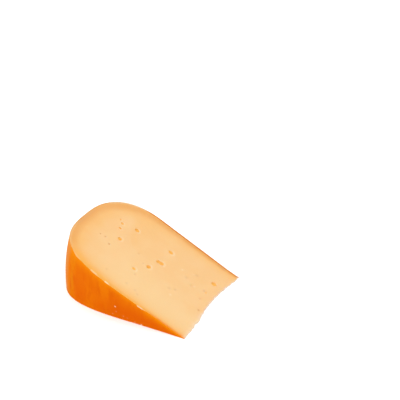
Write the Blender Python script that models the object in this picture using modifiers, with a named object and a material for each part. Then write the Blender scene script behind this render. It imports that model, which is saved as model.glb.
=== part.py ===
"""A wedge of firm cheese in an orange coat, lying on its lower cut face.

The wedge is one solid in metres, +Z up. Its tip edge is towards +X and its
rim towards -X. The two flat sides face -Y (near) and +Y (far). The origin
is on the ground, under the middle of the wedge's box.

Its outer skin is a turned shape whose axis runs along Y beyond the tip
edge. Two knife cuts make its flat faces: the lower one is the ground plane,
the upper one climbs from the tip edge to the rim. Places on the wedge are
given as along (from the tip line to the rim) and across (to the far side).
"""

import math

import bmesh
import bpy
from mathutils import Matrix, Vector

# Turned skin
RIM_RADIUS = 0.175
BORE_RADIUS = 0.025
TURN_STEPS = 180
FLAT_POINTS = 4
CORNER_POINTS = 20
RIM_OFFSET = 0.0016
NEAR_THICKNESS = 0.0511
NEAR_CORNER = 0.52
NEAR_POWER = 3.2
NEAR_FLARE = 0.16
FAR_THICKNESS = 0.0480
FAR_CORNER = 0.296
FAR_POWER = 2.34
FAR_FLARE = 0.056

# Place of the turning axis, and the middle of the wedge's box
AXIS_BEYOND_TIP = 0.0412
AXIS_HEIGHT = 0.0034
TIP_X = 0.0666
MIDDLE_ACROSS = -0.00076

# Knife cuts
CUT_ANGLE = math.radians(24.8)
CUT_LENGTH = 0.155
CUT_HALF_WIDTH = 0.060
CUT_COLUMNS = 18
CUT_ROWS = 60
CUT_CROWDING = 1.7
TIP_THICKNESS = 0.0007
DISH_DEPTH = 0.0011
DISH_ALONG = 0.014
DISH_LENGTH = 0.016
DISH_HALF_WIDTH = 0.058

# Worn tip edge
TIP_LEAD = 0.0004
HOLLOW_DEPTH = 0.0040
HOLLOW_ACROSS = 0.005
HOLLOW_NEAR_REACH = 0.030
HOLLOW_FAR_REACH = 0.037
NICK_ACROSS = -0.0292
NICK_DEPTH = 0.0015
NICK_REACH = 0.0032
RIPPLE_HEIGHT = 0.00014
RIPPLE_LENGTHS = (0.0091, 0.0053)

# Eyes in the upper cut face: along, across, length, width and depth
UPPER_EYES = (
    (0.0599, 0.0046, 0.0044, 0.0034, 0.0022),
    (0.0568, 0.0057, 0.0042, 0.0032, 0.0020),
    (0.0634, -0.0079, 0.0037, 0.0033, 0.0020),
    (0.0586, 0.0247, 0.0046, 0.0033, 0.0019),
    (0.0949, 0.0210, 0.0038, 0.0029, 0.0017),
    (0.0993, -0.0011, 0.0035, 0.0029, 0.0017),
    (0.1121, 0.0205, 0.0022, 0.0016, 0.0010),
    (0.1092, 0.0163, 0.0024, 0.0019, 0.0012),
    (0.1073, 0.0088, 0.0020, 0.0017, 0.0010),
    (0.0708, -0.0195, 0.0034, 0.0024, 0.0010),
    (0.0123, 0.0229, 0.0043, 0.0037, 0.0016),
    (0.0126, 0.0104, 0.0034, 0.0022, 0.0008),
)

# Eyes in the lower cut face: along, across, length, width and depth
LOWER_EYES = (
    (0.0420, 0.0180, 0.0046, 0.0036, 0.0021),
    (0.0545, -0.0240, 0.0038, 0.0031, 0.0018),
    (0.0870, 0.0080, 0.0041, 0.0030, 0.0019),
    (0.0905, 0.0120, 0.0033, 0.0028, 0.0016),
    (0.1050, -0.0160, 0.0026, 0.0021, 0.0012),
    (0.0990, 0.0270, 0.0032, 0.0024, 0.0014),
    (0.0300, -0.0120, 0.0034, 0.0026, 0.0015),
)
EYE_SEGMENTS = 16
EYE_RINGS = 10
EYE_LIFT = 0.25

# Chips along the near upper edge, where the coat broke: along and length
EDGE_CHIPS = (
    (0.0942, 0.0062),
    (0.0786, 0.0088),
    (0.0445, 0.0072),
)
CHIP_WIDTH = 0.0022
CHIP_DEPTH = 0.0014

# Surfaces
RIND_COLOUR = (0.80, 0.155, 0.004, 1.0)
RIND_ROUGHNESS = 0.45
PASTE_COLOUR = (0.96, 0.62, 0.29, 1.0)
PASTE_ROUGHNESS = 0.55
SHARP_ANGLE = math.radians(30)

PARTS_COLLECTION = "cheese_wedge_parts"
CUTTERS_COLLECTION = "cheese_wedge_cutters"


def clear_scene():
    """Remove every object of the open scene."""
    for obj in list(bpy.data.objects):
        bpy.data.objects.remove(obj, do_unlink=True)


def new_collection(name):
    """Make a collection of this name and link it to the scene."""
    collection = bpy.data.collections.new(name)
    bpy.context.scene.collection.children.link(collection)
    return collection


def new_material(name, colour, roughness):
    """Make a Principled material of one colour."""
    material = bpy.data.materials.new(name)
    material.use_nodes = True
    shader = material.node_tree.nodes["Principled BSDF"]
    shader.inputs["Base Color"].default_value = colour
    shader.inputs["Roughness"].default_value = roughness
    shader.inputs["Metallic"].default_value = 0.0
    material.diffuse_color = colour
    return material


def new_object(name, mesh, collection, material):
    """Put a mesh in a collection as an object of one material."""
    mesh.materials.append(material)
    obj = bpy.data.objects.new(name, mesh)
    collection.objects.link(obj)
    return obj


def hide_helper(obj):
    """Keep a cutter or guide out of the finished model."""
    obj.hide_render = True
    obj.display_type = "WIRE"


def side_profile(thickness, corner, power, flare):
    """Trace one side of the skin from the bore to the rim.

    The side is nearly flat, flares a little with the radius, and rounds
    into the rim by a superellipse quarter. Each point is its radius and
    its distance from the rim's middle plane.
    """
    rim_start = 1.0 - corner
    points = []
    for index in range(FLAT_POINTS):
        bore = BORE_RADIUS / RIM_RADIUS
        radius = bore + (rim_start - bore) * index / FLAT_POINTS
        points.append((radius, 1.0))
    for index in range(CORNER_POINTS + 1):
        turn = 0.5 * math.pi * index / CORNER_POINTS
        reach = math.sin(turn) ** (2.0 / power)
        height = max(math.cos(turn), 0.0) ** (2.0 / power)
        points.append((rim_start + corner * reach, height))
    return [
        (RIM_RADIUS * radius, thickness * height * (1.0 + flare * radius**2))
        for radius, height in points
    ]


def make_turned_skin(collection, material):
    """Turn the closed side outline about the axis beyond the tip edge.

    The outline stands in the object's XZ plane, its top being the near
    side, and the whole is tipped so that the turning axis lies along Y.
    """
    near = side_profile(NEAR_THICKNESS, NEAR_CORNER, NEAR_POWER, NEAR_FLARE)
    far = side_profile(FAR_THICKNESS, FAR_CORNER, FAR_POWER, FAR_FLARE)
    outline = [(radius, height - RIM_OFFSET) for radius, height in near]
    outline += [(radius, -height - RIM_OFFSET) for radius, height in far[-2::-1]]
    mesh = bpy.data.meshes.new("turned_skin")
    shape = bmesh.new()
    verts = [shape.verts.new((radius, 0.0, height)) for radius, height in outline]
    for index, vert in enumerate(verts):
        shape.edges.new((verts[index - 1], vert))
    shape.to_mesh(mesh)
    shape.free()

    skin = new_object("turned_skin", mesh, collection, material)
    skin.location = (TIP_X + AXIS_BEYOND_TIP, -MIDDLE_ACROSS, AXIS_HEIGHT)
    skin.rotation_euler = (math.radians(90), 0.0, 0.0)
    screw = skin.modifiers.new("turn", "SCREW")
    screw.axis = "Z"
    screw.angle = math.tau
    screw.steps = TURN_STEPS
    screw.render_steps = TURN_STEPS
    hide_helper(skin)
    return skin


def tip_recess(across):
    """How far the worn tip edge lies behind the tip line at this place."""
    side = across - HOLLOW_ACROSS
    reach = HOLLOW_FAR_REACH if side > 0.0 else HOLLOW_NEAR_REACH
    hollow = HOLLOW_DEPTH * max(1.0 - (side / reach) ** 2, 0.0)
    nick = NICK_DEPTH * max(1.0 - abs(across - NICK_ACROSS) / NICK_REACH, 0.0)
    ripple = sum(math.sin(math.tau * across / step) for step in RIPPLE_LENGTHS)
    return hollow + nick + RIPPLE_HEIGHT * ripple - TIP_LEAD


def cut_height(along, across):
    """Height of the upper cut face over the ground.

    The cut climbs straight at its angle, sags a little near the tip, and
    levels out at the thickness that the worn tip edge keeps.
    """
    spread = math.exp(-(((along - DISH_ALONG) / DISH_LENGTH) ** 2))
    width = max(1.0 - (across / DISH_HALF_WIDTH) ** 2, 0.0)
    climb = along * math.tan(CUT_ANGLE) - DISH_DEPTH * spread * width
    return 0.5 * (climb + math.hypot(climb, 2.0 * TIP_THICKNESS))


def make_knife_body(collection, material):
    """Make the room between the two knife cuts as one closed body.

    A grid is laid out over the wedge, crowded towards the tip edge, and
    lifted to the upper cut. Its copy on the ground closes the body.
    """
    bpy.ops.mesh.primitive_grid_add(
        x_subdivisions=CUT_COLUMNS, y_subdivisions=CUT_ROWS, size=2.0
    )
    knife = bpy.context.object
    knife.name = "knife_body"
    shape = bmesh.new()
    shape.from_mesh(knife.data)
    for vert in shape.verts:
        share = (0.5 * (1.0 - vert.co.x)) ** CUT_CROWDING
        across = CUT_HALF_WIDTH * vert.co.y
        start = tip_recess(across)
        along = start + (CUT_LENGTH - start) * share
        vert.co = (TIP_X - along, across - MIDDLE_ACROSS, cut_height(along, across))
    grown = bmesh.ops.extrude_face_region(shape, geom=shape.faces[:])
    for item in grown["geom"]:
        if isinstance(item, bmesh.types.BMVert):
            item.co.z = 0.0
    bmesh.ops.recalc_face_normals(shape, faces=shape.faces[:])
    shape.to_mesh(knife.data)
    shape.free()

    knife.data.materials.append(material)
    for owner in knife.users_collection:
        owner.objects.unlink(knife)
    collection.objects.link(knife)
    hide_helper(knife)
    return knife


def make_cutter_egg(name, place, size, turn, collection, material):
    """Make one egg-shaped cutter with its axes turned about Y."""
    mesh = bpy.data.meshes.new(name)
    shape = bmesh.new()
    bmesh.ops.create_uvsphere(
        shape, u_segments=EYE_SEGMENTS, v_segments=EYE_RINGS, radius=1.0
    )
    frame = Matrix.Translation(place) @ Matrix.Rotation(turn, 4, "Y")
    frame = frame @ Matrix.Diagonal((*(0.5 * side for side in size), 1.0))
    bmesh.ops.transform(shape, matrix=frame, verts=shape.verts)
    shape.to_mesh(mesh)
    shape.free()
    hide_helper(new_object(name, mesh, collection, material))


def make_eyes(collection, material):
    """Make the cutters of the eyes in both cut faces.

    Each is an egg sunk into the face, its middle raised over the face by
    a share of its depth so that the opening has a clean rim.
    """
    for index, (along, across, length, width, depth) in enumerate(UPPER_EYES):
        ground = along * math.cos(CUT_ANGLE)
        lift = EYE_LIFT * depth
        place = Vector((TIP_X - ground, across - MIDDLE_ACROSS, 0.0))
        place.z = cut_height(ground, across)
        place += lift * Vector((math.sin(CUT_ANGLE), 0.0, math.cos(CUT_ANGLE)))
        size = (length, width, 2.0 * (depth + lift))
        name = f"upper_eye_{index + 1}"
        make_cutter_egg(name, place, size, CUT_ANGLE, collection, material)
    for index, (along, across, length, width, depth) in enumerate(LOWER_EYES):
        lift = EYE_LIFT * depth
        place = Vector((TIP_X - along, across - MIDDLE_ACROSS, -lift))
        size = (length, width, 2.0 * (depth + lift))
        name = f"lower_eye_{index + 1}"
        make_cutter_egg(name, place, size, 0.0, collection, material)


def near_side_across(along):
    """Where the near side meets the upper cut, by the skin's outline."""
    ground = along * math.cos(CUT_ANGLE)
    height = along * math.sin(CUT_ANGLE) - AXIS_HEIGHT
    radius = math.hypot(ground + AXIS_BEYOND_TIP, height)
    side = side_profile(NEAR_THICKNESS, NEAR_CORNER, NEAR_POWER, NEAR_FLARE)
    for (start, low), (end, high) in zip(side, side[1:]):
        if start <= radius <= end:
            share = (radius - start) / (end - start)
            return RIM_OFFSET - (low + (high - low) * share)
    return RIM_OFFSET


def make_edge_chips(collection, material):
    """Make the cutters of the shallow chips along the near upper edge."""
    for index, (along, length) in enumerate(EDGE_CHIPS):
        ground = along * math.cos(CUT_ANGLE)
        across = near_side_across(along)
        place = (TIP_X - ground, across - MIDDLE_ACROSS, cut_height(ground, across))
        size = (length, CHIP_WIDTH, CHIP_DEPTH)
        name = f"edge_chip_{index + 1}"
        make_cutter_egg(name, place, size, CUT_ANGLE, collection, material)


def add_boolean(obj, name, operation):
    """Add a Boolean modifier and return it without its cutter."""
    modifier = obj.modifiers.new(name, "BOOLEAN")
    modifier.operation = operation
    modifier.material_mode = "TRANSFER"
    return modifier


def make_wedge(skin, knife, cutters, collection):
    """Cut the turned skin to the wedge and keep the result as a mesh."""
    add_boolean(skin, "knife_cuts", "INTERSECT").object = knife
    hollows = add_boolean(skin, "eyes_and_chips", "DIFFERENCE")
    hollows.operand_type = "COLLECTION"
    hollows.collection = cutters

    graph = bpy.context.evaluated_depsgraph_get()
    mesh = bpy.data.meshes.new_from_object(
        skin.evaluated_get(graph), preserve_all_data_layers=True, depsgraph=graph
    )
    mesh.name = "cheese_wedge"
    mesh.transform(skin.matrix_world)
    mesh.shade_smooth()
    mesh.set_sharp_from_angle(angle=SHARP_ANGLE)
    wedge = bpy.data.objects.new("cheese_wedge", mesh)
    collection.objects.link(wedge)
    return wedge


def main():
    """Build the wedge."""
    clear_scene()
    parts = new_collection(PARTS_COLLECTION)
    helpers = new_collection(CUTTERS_COLLECTION)
    hollows = bpy.data.collections.new("hollows")
    helpers.children.link(hollows)

    rind = new_material("orange_rind", RIND_COLOUR, RIND_ROUGHNESS)
    paste = new_material("cheese_paste", PASTE_COLOUR, PASTE_ROUGHNESS)
    skin = make_turned_skin(helpers, rind)
    knife = make_knife_body(helpers, paste)
    make_eyes(hollows, paste)
    make_edge_chips(hollows, paste)
    make_wedge(skin, knife, hollows, parts)


main()
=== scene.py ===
"""Looks of a wedge of firm cheese in a thin orange coat, lying on its lower cut face.

The wedge is drawn by two pieces that stand for its one solid: the pale paste, with
its eyes and worn tip edge, and the coat, a thin skin over the rim and the two flat
sides. Both are lofted from the same form: a skin turned about an axis beyond the tip
edge, kept between two knife cuts. The lower cut is the ground plane.

Places on the wedge are given as along (from the tip line towards the rim), across
(towards the far side) and height, in metres where nothing else is said. In the row
frame the tip points to +X, the far side to +Y, and +Z is up.
"""

from __future__ import annotations

import itertools
import logging
import math
from dataclasses import dataclass, field
from enum import Enum

import bmesh
import bpy
import numpy as np
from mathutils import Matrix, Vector
from numpy.typing import NDArray

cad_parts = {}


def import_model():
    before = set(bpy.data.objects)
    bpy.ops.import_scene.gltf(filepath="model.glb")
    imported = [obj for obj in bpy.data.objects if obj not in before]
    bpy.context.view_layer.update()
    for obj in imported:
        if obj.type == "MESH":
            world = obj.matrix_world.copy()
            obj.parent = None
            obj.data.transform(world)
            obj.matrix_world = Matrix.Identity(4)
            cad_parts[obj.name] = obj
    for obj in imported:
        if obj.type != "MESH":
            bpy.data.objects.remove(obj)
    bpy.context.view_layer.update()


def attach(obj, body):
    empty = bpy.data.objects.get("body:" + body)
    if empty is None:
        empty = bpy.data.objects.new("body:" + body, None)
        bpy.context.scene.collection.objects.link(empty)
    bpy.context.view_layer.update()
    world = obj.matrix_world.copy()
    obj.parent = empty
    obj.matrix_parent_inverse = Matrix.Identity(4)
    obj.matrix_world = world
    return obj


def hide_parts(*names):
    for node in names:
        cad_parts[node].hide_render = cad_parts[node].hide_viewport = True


Array = NDArray[np.float64]
Indices = NDArray[np.int64]
Colour = tuple[float, float, float]
Object = bpy.types.Object
Mesh = bpy.types.Mesh
Material = bpy.types.Material
Output = bpy.types.NodeSocket
Inputs = dict[str | int, Output | float | tuple[float, ...]]

LOG = logging.getLogger("cheese_wedge")
NODE = "cheese_wedge"
BODY = "root"
MM = 0.001
PLAIN = (1.0, 1.0, 1.0)
FLIP_X = (-1.0, 1.0, 1.0)
SHARP_ANGLE = math.radians(50)
OUTLINE_STEPS = 400
WALL_ROUNDS = 8
SKIN_BATCH = 8000


class Seed(Enum):
    """Seeds of the noise, one for each kind of unevenness."""

    TIP_WEAR = 11
    FACE_WAVES = 21
    FACE_GRAIN = 22
    FACE_STROKES = 23
    EYE_SHAPES = 31
    BAND_DEPTH = 41
    FAR_ARC = 42
    BROWN_LINE = 43
    BROKEN_LINE = 44
    RIM_CORNERS = 45
    COAT_EDGE = 51
    COAT_DENTS = 61
    COAT_PEBBLES = 62
    SCUFF_EDGES = 71


class Mask(Enum):
    """Names of the values from 0 to 1 that a piece keeps at each of its points."""

    AMBER = "amber"
    STAIN = "stain"
    BAND = "band"
    BROWN = "brown"
    FAR = "far"
    # Painted shade inside the eyes.
    EYE = "eye"
    TIP = "tip"
    # Painted shade in pits, pinholes and along the rim edge, and the broken far line.
    PIT = "pit"
    PALE = "pale"
    CUT = "cut"
    RIM = "rim"
    # Painted light along the coat's upper edge, and a painted glow of bounced light along its
    # bottom edge.
    STRIP = "strip"
    # Painted shade on the coat's near side.
    SHADE = "shade"
    GOLD = "gold"
    # Painted sheen: a paler band round the coat's rim corners, standing in for its grazing
    # reflection.
    PAINTED_SHEEN = "dry"


def smooth_step(values: Array, low: float, high: float) -> Array:
    """Rise smoothly from 0 to 1.

    Args:
        values: Any numbers.
        low: Where the rise starts.
        high: Where the rise ends, above or below low.

    Returns:
        One share from 0 to 1 for each number.
    """
    share = np.clip((values - low) / (high - low), 0.0, 1.0)
    return share * share * (3.0 - 2.0 * share)


def step_mm(values: Array, low: float, high: float) -> Array:
    """Rise smoothly from 0 to 1 between two lengths that are given in millimetres."""
    return smooth_step(values, low * MM, high * MM)


def even_spacing(path: Array, spacing: float) -> Array:
    """Resample a path so that its points lie evenly along it.

    Args:
        path: Points of the path, one in each row.
        spacing: The wanted distance between points.

    Returns:
        The new points, with the path's own ends kept.
    """
    steps = np.linalg.norm(np.diff(path, axis=0), axis=1)
    travel = np.concatenate([[0.0], np.cumsum(steps)])
    count = max(int(round(travel[-1] / spacing)), 2)
    wanted = np.linspace(0.0, travel[-1], count + 1)
    columns = [np.interp(wanted, travel, path[:, axis]) for axis in range(path.shape[1])]
    return np.column_stack(columns)


def outward_of(outline: Array) -> Array:
    """Find the direction out of the skin at each point of an outline of it.

    Args:
        outline: Rows of a radius and a place across.

    Returns:
        Rows of length 1 that point out.
    """
    step = np.gradient(outline, axis=0)
    step /= np.linalg.norm(step, axis=1, keepdims=True)
    return np.column_stack([step[:, 1], -step[:, 0]])


class Unevenness:
    """Smooth seeded noise over space, which gives the surfaces their relief."""

    CELLS = 32

    def __init__(self, seed: Seed) -> None:
        """Draw the lattice.

        Args:
            seed: The seed of its random numbers.
        """
        shape = (self.CELLS,) * 3
        self.lattice = np.random.default_rng(seed.value).uniform(-1.0, 1.0, shape)

    def at(self, points: Array, size: float) -> Array:
        """Read the noise at some points.

        Args:
            points: Places, one in each row.
            size: The distance between lumps.

        Returns:
            A value from -1 to 1 for each point.
        """
        scaled = points / size
        corner = np.floor(scaled).astype(np.int64)
        part = scaled - corner
        part = part * part * (3.0 - 2.0 * part)
        total = np.zeros(len(points))
        for offset in itertools.product((0, 1), repeat=3):
            cell = (corner + offset) % self.CELLS
            weight = np.prod(np.where(offset, part, 1.0 - part), axis=1)
            total += weight * self.lattice[cell[:, 0], cell[:, 1], cell[:, 2]]
        return total

    def layered(self, points: Array, size: float, layers: int = 3) -> Array:
        """Add up ever finer and weaker noise.

        Args:
            points: Places, one in each row.
            size: The distance between the largest lumps.
            layers: How many sizes are added, each half of the last.

        Returns:
            A value of about -1 to 1 for each point.
        """
        total = np.zeros(len(points))
        weights = 0.0
        for layer in range(layers):
            weight = 0.5**layer
            total += weight * self.at(points + 0.37 * layer * size, size * weight)
            weights += weight
        return total / weights


@dataclass(frozen=True)
class SideShape:
    """One flat side of the turned skin, which rounds into the rim."""

    thickness: float
    corner: float
    power: float
    flare: float

    def outline(self, rim_radius: float, start_radius: float) -> Array:
        """Trace the side from a start radius to the rim.

        Args:
            rim_radius: The skin's largest radius.
            start_radius: The radius that the outline starts at.

        Returns:
            Rows of a radius and the distance from the rim's middle plane.
        """
        rim_start = 1.0 - self.corner
        start = start_radius / rim_radius
        flat = np.linspace(start, rim_start, OUTLINE_STEPS, endpoint=False)
        turn = np.linspace(0.0, 0.5 * math.pi, OUTLINE_STEPS)
        reach = np.sin(turn) ** (2.0 / self.power)
        drop = np.clip(np.cos(turn), 0.0, 1.0) ** (2.0 / self.power)
        radius = np.concatenate([flat, rim_start + self.corner * reach])
        height = np.concatenate([np.ones(OUTLINE_STEPS), drop])
        away = self.thickness * height * (1.0 + self.flare * radius**2)
        return np.column_stack([rim_radius * radius, away])


@dataclass(frozen=True)
class Survey:
    """Where the points of a mesh lie on the wedge and under its skin."""

    mesh: Mesh
    points: Array
    places: Array
    along: Array
    across: Array
    height: Array
    top: Array
    depth: Array
    nearest: Array
    rimward: Array

    @property
    def under(self) -> Array:
        """How far the points lie under the upper cut face."""
        return self.top - self.height

    @property
    def is_near(self) -> Array:
        """Whether the nearest skin lies on the wedge's near half."""
        return self.nearest < 0.0

    def noise(self, seed: Seed, size: float) -> Array:
        """Read noise at the points, its lumps given in millimetres."""
        return Unevenness(seed).layered(self.points, size * MM, 2)

    def far_arc(self) -> Array:
        """How far the points belong to the arc between the rim and the far side."""
        return step_mm(self.across, 22, 31) * step_mm(self.along, 89, 97)

    def keep(self, mask: Mask, values: Array) -> None:
        """Keep one value for each point of the mesh, for its finish to read."""
        layer = self.mesh.attributes.new(mask.value, "FLOAT", "POINT")
        layer.data.foreach_set("value", np.clip(values, 0.0, 1.0).astype(np.float32))


@dataclass(frozen=True)
class WedgeForm:
    """The wedge's true form: a turned skin kept between two knife cuts."""

    rim_radius: float = 0.175
    rim_offset: float = 0.0016
    near: SideShape = SideShape(0.0511, 0.52, 3.2, 0.16)
    far: SideShape = SideShape(0.0480, 0.296, 2.34, 0.056)
    axis_beyond_tip: float = 0.0412
    axis_height: float = 0.0034
    tip_x: float = 0.0666
    middle_across: float = -0.00076
    cut_angle: float = math.radians(24.8)
    tip_thickness: float = 0.0007
    dish_depth: float = 0.0011
    dish_along: float = 0.014
    dish_length: float = 0.016
    dish_half_width: float = 0.058
    tip_lead: float = 0.0004
    hollow_depth: float = 0.0040
    hollow_across: float = 0.005
    hollow_reach: tuple[float, float] = (0.030, 0.037)
    nick_across: float = -0.0292
    nick_depth: float = 0.0015
    nick_reach: float = 0.0032
    ripple_height: float = 0.00014
    ripple_lengths: tuple[float, float] = (0.0091, 0.0053)

    def skin_outline(self, spacing: float, inset: float) -> Array:
        """Trace the skin from the near tip corner round the rim to the far one.

        Args:
            spacing: The distance between points.
            inset: How far the outline lies inside the skin.

        Returns:
            Rows of a radius about the turning axis and a place across.
        """
        start = math.hypot(self.axis_beyond_tip - self.tip_lead, self.axis_height)
        near = self.near.outline(self.rim_radius, start) * (1.0, -1.0)
        far = self.far.outline(self.rim_radius, start)
        whole = np.vstack([near, far[-2::-1]]) + (0.0, self.rim_offset)
        even = even_spacing(whole, spacing)
        return even - inset * outward_of(even)

    def tip_recess(self, across: Array) -> Array:
        """Find how far the worn tip edge lies behind the tip line.

        Args:
            across: Places across.

        Returns:
            The distance at each place.
        """
        side = across - self.hollow_across
        reach = np.where(side > 0.0, self.hollow_reach[1], self.hollow_reach[0])
        hollow = self.hollow_depth * np.clip(1.0 - (side / reach) ** 2, 0.0, None)
        apart = np.abs(across - self.nick_across) / self.nick_reach
        nick = self.nick_depth * np.clip(1.0 - apart, 0.0, None)
        ripple = sum(np.sin(math.tau * across / step) for step in self.ripple_lengths)
        return hollow + nick + self.ripple_height * ripple - self.tip_lead

    def climb(self, along: Array, across: Array) -> Array:
        """Height of the upper cut face.

        Args:
            along: Places along.
            across: Places across.

        Returns:
            The height over the ground at each place.
        """
        spread = np.exp(-(((along - self.dish_along) / self.dish_length) ** 2))
        width = np.clip(1.0 - (across / self.dish_half_width) ** 2, 0.0, None)
        rise = along * math.tan(self.cut_angle) - self.dish_depth * spread * width
        return 0.5 * (rise + np.hypot(rise, 2.0 * self.tip_thickness))

    def wall(self, outline: Array, shares: Array, drop: Array | float = 0.0) -> Array:
        """Stand an outline of the skin up between the two cuts.

        Args:
            outline: Rows of a radius and a place across.
            shares: Heights of the rows as shares of the height at the upper cut.
            drop: How far the top row lies under the upper cut.

        Returns:
            Along, across and height for each share and each outline point.
        """
        radius, across = outline[None, :, 0], outline[None, :, 1]
        height = np.zeros((len(shares), len(outline)))
        for _ in range(WALL_ROUNDS):
            reach = np.sqrt(radius**2 - (height - self.axis_height) ** 2)
            along = reach - self.axis_beyond_tip
            height = shares[:, None] * (self.climb(along, across) - drop)
        return np.stack([along, np.broadcast_to(across, along.shape), height], axis=-1)

    def to_row(self, places: Array) -> Array:
        """Turn rows of along, across and height into points of the row frame."""
        return places.reshape(-1, 3) * FLIP_X + (self.tip_x, -self.middle_across, 0.0)

    def to_places(self, points: Array) -> Array:
        """Turn points of the row frame into rows of along, across and height."""
        return points * FLIP_X + (self.tip_x, self.middle_across, 0.0)

    def skin_depth(self, places: Array) -> tuple[Array, Array, Array]:
        """Find how deep places lie under the skin, and under which part of it.

        Args:
            places: Rows of along, across and height.

        Returns:
            The depth of each place, the nearest skin point's place across, and how far
            the skin faces away from the turning axis there, from 0 to 1.
        """
        outline = self.skin_outline(0.8 * MM, 0.0)
        outward = outward_of(outline)
        along = places[:, 0] + self.axis_beyond_tip
        radius = np.hypot(along, places[:, 2] - self.axis_height)
        spots = np.column_stack([radius, places[:, 1]])
        best = np.empty(len(spots), dtype=np.int64)
        for start in range(0, len(spots), SKIN_BATCH):
            part = slice(start, start + SKIN_BATCH)
            gap = ((spots[part, None, :] - outline[None, :, :]) ** 2).sum(axis=2)
            best[part] = gap.argmin(axis=1)
        depth = ((outline[best] - spots) * outward[best]).sum(axis=1)
        return depth, outline[best, 1], np.clip(outward[best, 0], 0.0, 1.0)

    def survey(self, mesh: Mesh) -> Survey:
        """Find where the points of a mesh lie.

        Args:
            mesh: The mesh of one piece.

        Returns:
            Their places, and how they lie under the skin and the upper cut face.
        """
        points = mesh_points(mesh)
        places = self.to_places(points)
        top = self.climb(places[:, 0], places[:, 1])
        return Survey(mesh, points, places, *places.T, top, *self.skin_depth(places))


@dataclass
class MeshDraft:
    """Points and faces that are collected before they become one object."""

    points: list[Array] = field(default_factory=list)
    faces: list[list[int]] = field(default_factory=list)
    count: int = 0

    def add_points(self, points: Array) -> Indices:
        """Add points.

        Args:
            points: Rows of the row frame's X, Y and Z.

        Returns:
            The index of each added point.
        """
        self.points.append(points)
        self.count += len(points)
        return np.arange(self.count - len(points), self.count)

    def add_grid(self, index: Indices) -> None:
        """Add the four-sided faces of a grid of points whose rows are closed rings.

        Args:
            index: Point indices by row and column.
        """
        after = np.roll(index, -1, axis=1)
        corners = [index[:-1], after[:-1], after[1:], index[1:]]
        self.faces.extend(np.stack(corners, axis=-1).reshape(-1, 4).tolist())

    def add_fan(self, ring: Indices, centre: int) -> None:
        """Add the three-sided faces from a closed ring of points to its centre.

        Args:
            ring: Indices of the ring's points.
            centre: Index of the centre.
        """
        following = np.roll(ring, -1)
        middle = np.full_like(ring, centre)
        self.faces.extend(np.column_stack([ring, following, middle]).tolist())

    def build(self, name: str) -> Object:
        """Make the object, its faces pointing out.

        Args:
            name: The object's name.

        Returns:
            The new object, linked to the scene.
        """
        mesh = bpy.data.meshes.new(name)
        mesh.from_pydata(np.vstack(self.points).tolist(), [], self.faces)
        shape = bmesh.new()
        shape.from_mesh(mesh)
        bmesh.ops.recalc_face_normals(shape, faces=shape.faces[:])
        shape.to_mesh(mesh)
        shape.free()
        return add_object(name, mesh)


def add_object(name: str, data: bpy.types.ID) -> Object:
    """Add an object to the scene.

    Args:
        name: The object's name.
        data: Its mesh, light or camera.

    Returns:
        The object.
    """
    obj = bpy.data.objects.new(name, data)
    bpy.context.scene.collection.objects.link(obj)
    return obj


def mesh_points(mesh: Mesh) -> Array:
    """Read the points of a mesh.

    Args:
        mesh: The mesh.

    Returns:
        One point in each row.
    """
    flat = np.empty(3 * len(mesh.vertices))
    mesh.vertices.foreach_get("co", flat)
    return flat.reshape(-1, 3)


def dress(piece: Object, material: Material) -> None:
    """Give a piece its material and smooth shading with sharp edges.

    Args:
        piece: The piece.
        material: Its finish.
    """
    piece.data.materials.clear()
    piece.data.materials.append(material)
    piece.data.shade_smooth()
    piece.data.set_sharp_from_angle(angle=SHARP_ANGLE)


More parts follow.
